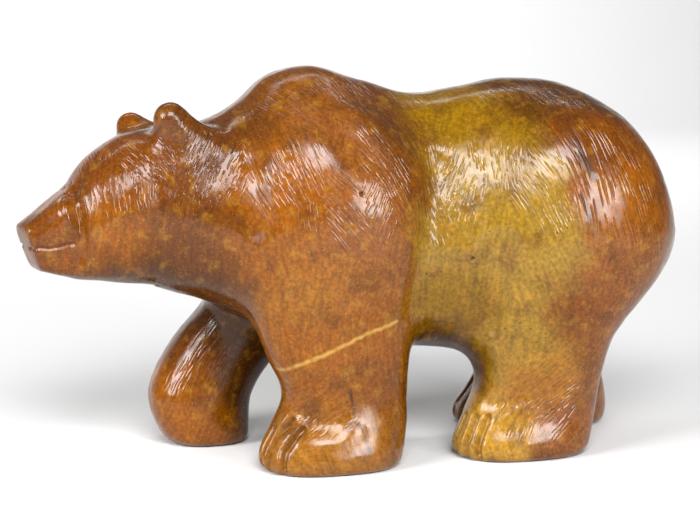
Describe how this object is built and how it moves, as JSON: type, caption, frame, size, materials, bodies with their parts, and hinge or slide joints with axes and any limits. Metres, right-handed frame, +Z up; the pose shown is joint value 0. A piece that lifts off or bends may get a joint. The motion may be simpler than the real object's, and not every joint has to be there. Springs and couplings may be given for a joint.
{
  "type": "stone bear carving",
  "caption": "Walking bear carved from a single block of polished brown soapstone, head low and turned slightly to its left, standing on flat-soled feet with no base.",
  "frame": {"origin": "on the ground, under the middle of the carving's bounding box", "axes": "+X towards the rump with the head along -X, +Y towards the bear's right side, +Z up"},
  "size_m": [0.2426, 0.0942, 0.1392],
  "materials": {
    "soapstone": "wax polished, mottled brown and gold stone"
  },
  "bodies": {
    "root": {"bear": "soapstone"}
  },
  "joints": []
}
